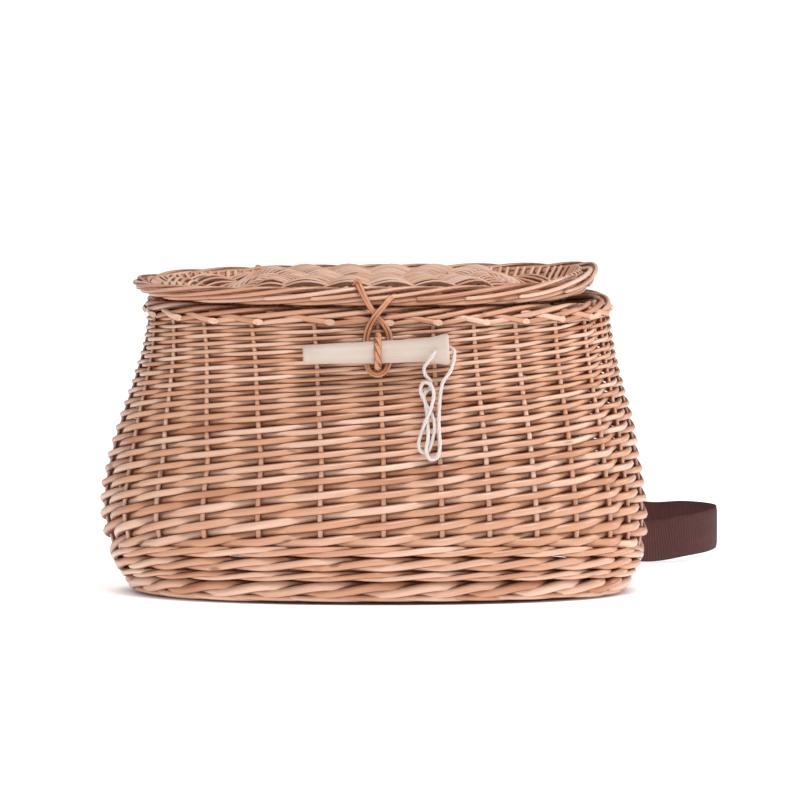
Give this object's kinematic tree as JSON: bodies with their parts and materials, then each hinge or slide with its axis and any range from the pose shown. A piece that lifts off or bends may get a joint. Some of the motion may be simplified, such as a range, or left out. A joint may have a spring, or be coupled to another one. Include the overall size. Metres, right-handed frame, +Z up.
{
  "type": "fishing creel bag",
  "caption": "Woven willow creel, bellied low down, with a hinged dished lid, a peg and ring closure on a cotton cord, and a webbing shoulder strap.",
  "frame": {"origin": "middle of the base's underside", "axes": "+Z up, +X to the right seen from the front, the front with its peg towards -Y"},
  "size_m": [0.4521, 0.4107, 0.2382],
  "materials": {
    "willow": "stripped buff willow rods, satin",
    "willow_bark": "twisted and split willow, satin",
    "turned_wood": "pale turned hardwood, unvarnished",
    "cotton": "white twisted cotton cord",
    "webbing": "dark brown woven webbing"
  },
  "bodies": {
    "root": {"base": "willow", "upsett_wale": "willow", "siding": "willow", "body_border": "willow", "hinge_ring_left": "willow_bark", "hinge_ring_right": "willow_bark", "peg_ring": "willow_bark", "shoulder_strap": "webbing"},
    "lid": {"lid_panel": "willow", "lid_border": "willow", "hasp_loop": "willow_bark"},
    "peg": {"peg": "turned_wood", "peg_cord": "cotton"}
  },
  "joints": [
    {"name": "lid_hinge", "type": "hinge", "parent": "root", "child": "lid", "pos_m": [0, 0.09098, 0.2166], "axis": [-1, 0, 0], "range_deg": [0, 110], "deforming": ["hasp_loop"]},
    {"name": "peg_slide", "type": "slide", "parent": "root", "child": "peg", "axis": [0.9992, 0, 0.0401], "range_m": [0, 0.06]}
  ]
}
